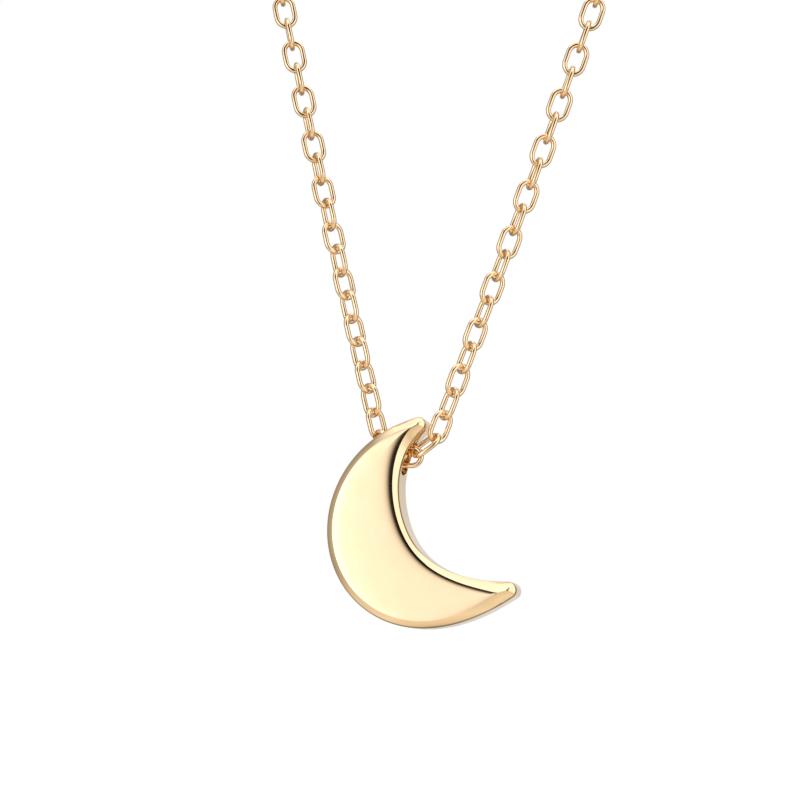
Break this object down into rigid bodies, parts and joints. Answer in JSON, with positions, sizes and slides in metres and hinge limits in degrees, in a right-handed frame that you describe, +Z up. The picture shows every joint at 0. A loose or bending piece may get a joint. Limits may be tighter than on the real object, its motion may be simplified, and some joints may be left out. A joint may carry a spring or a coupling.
{
  "type": "pendant necklace",
  "caption": "Fine gold-coloured cable chain with a spring-ring clasp, carrying a small polished crescent-moon pendant on the chain through a slot in its upper horn.",
  "frame": {"origin": "centre of the neck or display rest that the necklace hangs round, in the plane of the chain", "axes": "+Z up, the chain hanging down along -Z; -Y towards the viewer, so that the pendant's crowned face looks along -Y; +X to the viewer's right"},
  "size_m": [0.0826, 0.007, 0.2113],
  "materials": {
    "pendant": "mirror-polished pale gold plating",
    "chain": "polished warm gold plating",
    "clasp": "polished gold plating",
    "clasp_spring": "drawn spring wire"
  },
  "bodies": {
    "neck_arc": {"chain_left_11": "chain", "chain_left_12": "chain", "chain_left_13": "chain", "chain_left_14": "chain", "chain_right_11": "chain", "chain_right_12": "chain", "chain_right_13": "chain", "chain_right_14": "chain"},
    "row_1": {"chain_left_09": "chain", "chain_left_10": "chain", "chain_right_09": "chain", "chain_right_10": "chain"},
    "row_2": {"chain_left_07": "chain", "chain_left_08": "chain", "chain_right_07": "chain", "chain_right_08": "chain"},
    "row_3": {"chain_left_05": "chain", "chain_left_06": "chain", "chain_right_05": "chain", "chain_right_06": "chain"},
    "row_4": {"chain_left_03": "chain", "chain_left_04": "chain", "chain_right_03": "chain", "chain_right_04": "chain"},
    "row_5": {"chain_left_01": "chain", "chain_left_02": "chain", "chain_right_01": "chain", "chain_right_02": "chain"},
    "slot_links": {"bottom_link": "chain", "rising_link_left": "chain", "rising_link_right": "chain"},
    "pendant": {"pendant": "pendant"},
    "jump_ring": {"jump_ring": "clasp"},
    "tail_ring": {"tail_ring": "clasp"},
    "clasp": {"clasp_tube": "clasp", "clasp_eyelet": "clasp", "clasp_spring": "clasp_spring"},
    "latch": {"clasp_latch": "clasp"}
  },
  "joints": [
    {"name": "fold_1", "type": "hinge", "parent": "neck_arc", "child": "row_1", "pos_m": [0, 0, -0.00851], "axis": [1, 0, 0], "range_deg": [-50, 50]},
    {"name": "fold_2", "type": "hinge", "parent": "row_1", "child": "row_2", "pos_m": [0, 0, -0.0386], "axis": [1, 0, 0], "range_deg": [-50, 50]},
    {"name": "fold_3", "type": "hinge", "parent": "row_2", "child": "row_3", "pos_m": [0, 0, -0.0686], "axis": [1, 0, 0], "range_deg": [-50, 50]},
    {"name": "fold_4", "type": "hinge", "parent": "row_3", "child": "row_4", "pos_m": [0, 0, -0.09847], "axis": [1, 0, 0], "range_deg": [-50, 50]},
    {"name": "fold_5", "type": "hinge", "parent": "row_4", "child": "row_5", "pos_m": [0, 0, -0.12818], "axis": [1, 0, 0], "range_deg": [-50, 50]},
    {"name": "pendant_swing", "type": "hinge", "parent": "row_5", "child": "slot_links", "pos_m": [0, 0, -0.15751], "axis": [1, 0, 0], "range_deg": [-20, 20]},
    {"name": "pendant_tilt", "type": "hinge", "parent": "slot_links", "child": "pendant", "pos_m": [0, 0, -0.15871], "axis": [1, 0, 0], "range_deg": [-4, 4]},
    {"name": "jump_ring_turn", "type": "hinge", "parent": "neck_arc", "child": "jump_ring", "pos_m": [0.00419, 0, 0.04027], "axis": [0, 1, 0], "continuous": true},
    {"name": "tail_ring_turn", "type": "hinge", "parent": "neck_arc", "child": "tail_ring", "pos_m": [-0.00394, 0, 0.04027], "axis": [0, 1, 0], "continuous": true},
    {"name": "clasp_roll", "type": "hinge", "parent": "neck_arc", "child": "clasp", "pos_m": [-0.00098, 0, 0.04027], "axis": [1, 0, 0], "range_deg": [-30, 30]},
    {"name": "latch_pull", "type": "hinge", "parent": "clasp", "child": "latch", "pos_m": [-0.00098, 0, 0.04027], "axis": [0, 0, -1], "range_deg": [0, 50], "stiffness_Nm_per_rad": 0.0004, "springref_deg": -28.65, "deforming": ["clasp_spring"]}
  ]
}
